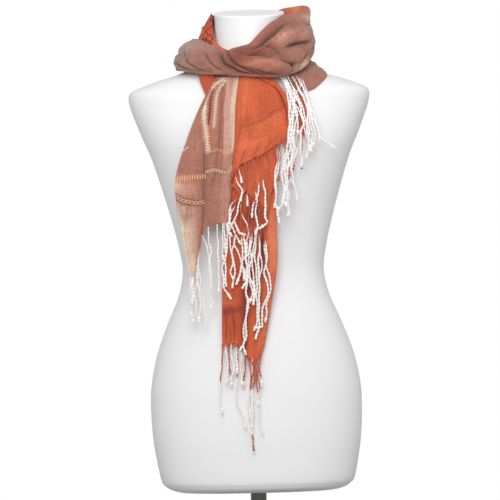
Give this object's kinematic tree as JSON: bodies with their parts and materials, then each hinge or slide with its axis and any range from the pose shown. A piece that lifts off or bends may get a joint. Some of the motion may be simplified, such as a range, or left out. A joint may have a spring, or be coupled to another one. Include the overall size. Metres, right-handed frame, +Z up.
{
  "type": "pashmina shawl on a dress form",
  "caption": "Long fringed pashmina looped round the neck of a white limbless dress form, its fringed ends hanging in front left of the middle.",
  "frame": {"origin": "middle of the stand base's underside", "axes": "+Z up along the pole, +X to the viewer's right, +Y away from the viewer, behind the form"},
  "size_m": [0.379, 0.2625, 0.8863],
  "materials": {
    "orange_cloth": "soft twill, burnt orange",
    "mauve_cloth": "soft twill, dusty mauve",
    "rust_cloth": "soft twill, rust brown",
    "fringe": "twisted yarn, off-white",
    "form_shell": "smooth white, soft gloss",
    "form_cap": "pale grey, satin",
    "stand_metal": "polished steel"
  },
  "bodies": {
    "root": {"wrap_left": "mauve_cloth", "wrap_front": "rust_cloth", "wrap_right": "mauve_cloth", "wrap_back": "mauve_cloth", "collar_left": "orange_cloth", "shoulder_fold": "mauve_cloth", "tuck_left": "orange_cloth", "front_end": "orange_cloth", "middle_end": "orange_cloth", "long_end": "orange_cloth", "side_end": "orange_cloth", "fringe_corner": "fringe", "fringe_front": "fringe", "fringe_middle": "fringe", "fringe_long_left": "fringe", "fringe_long_right": "fringe", "fringe_side": "fringe", "torso_form": "form_shell", "neck_cap": "form_cap", "stand_pole": "stand_metal", "stand_base": "stand_metal"}
  },
  "joints": []
}
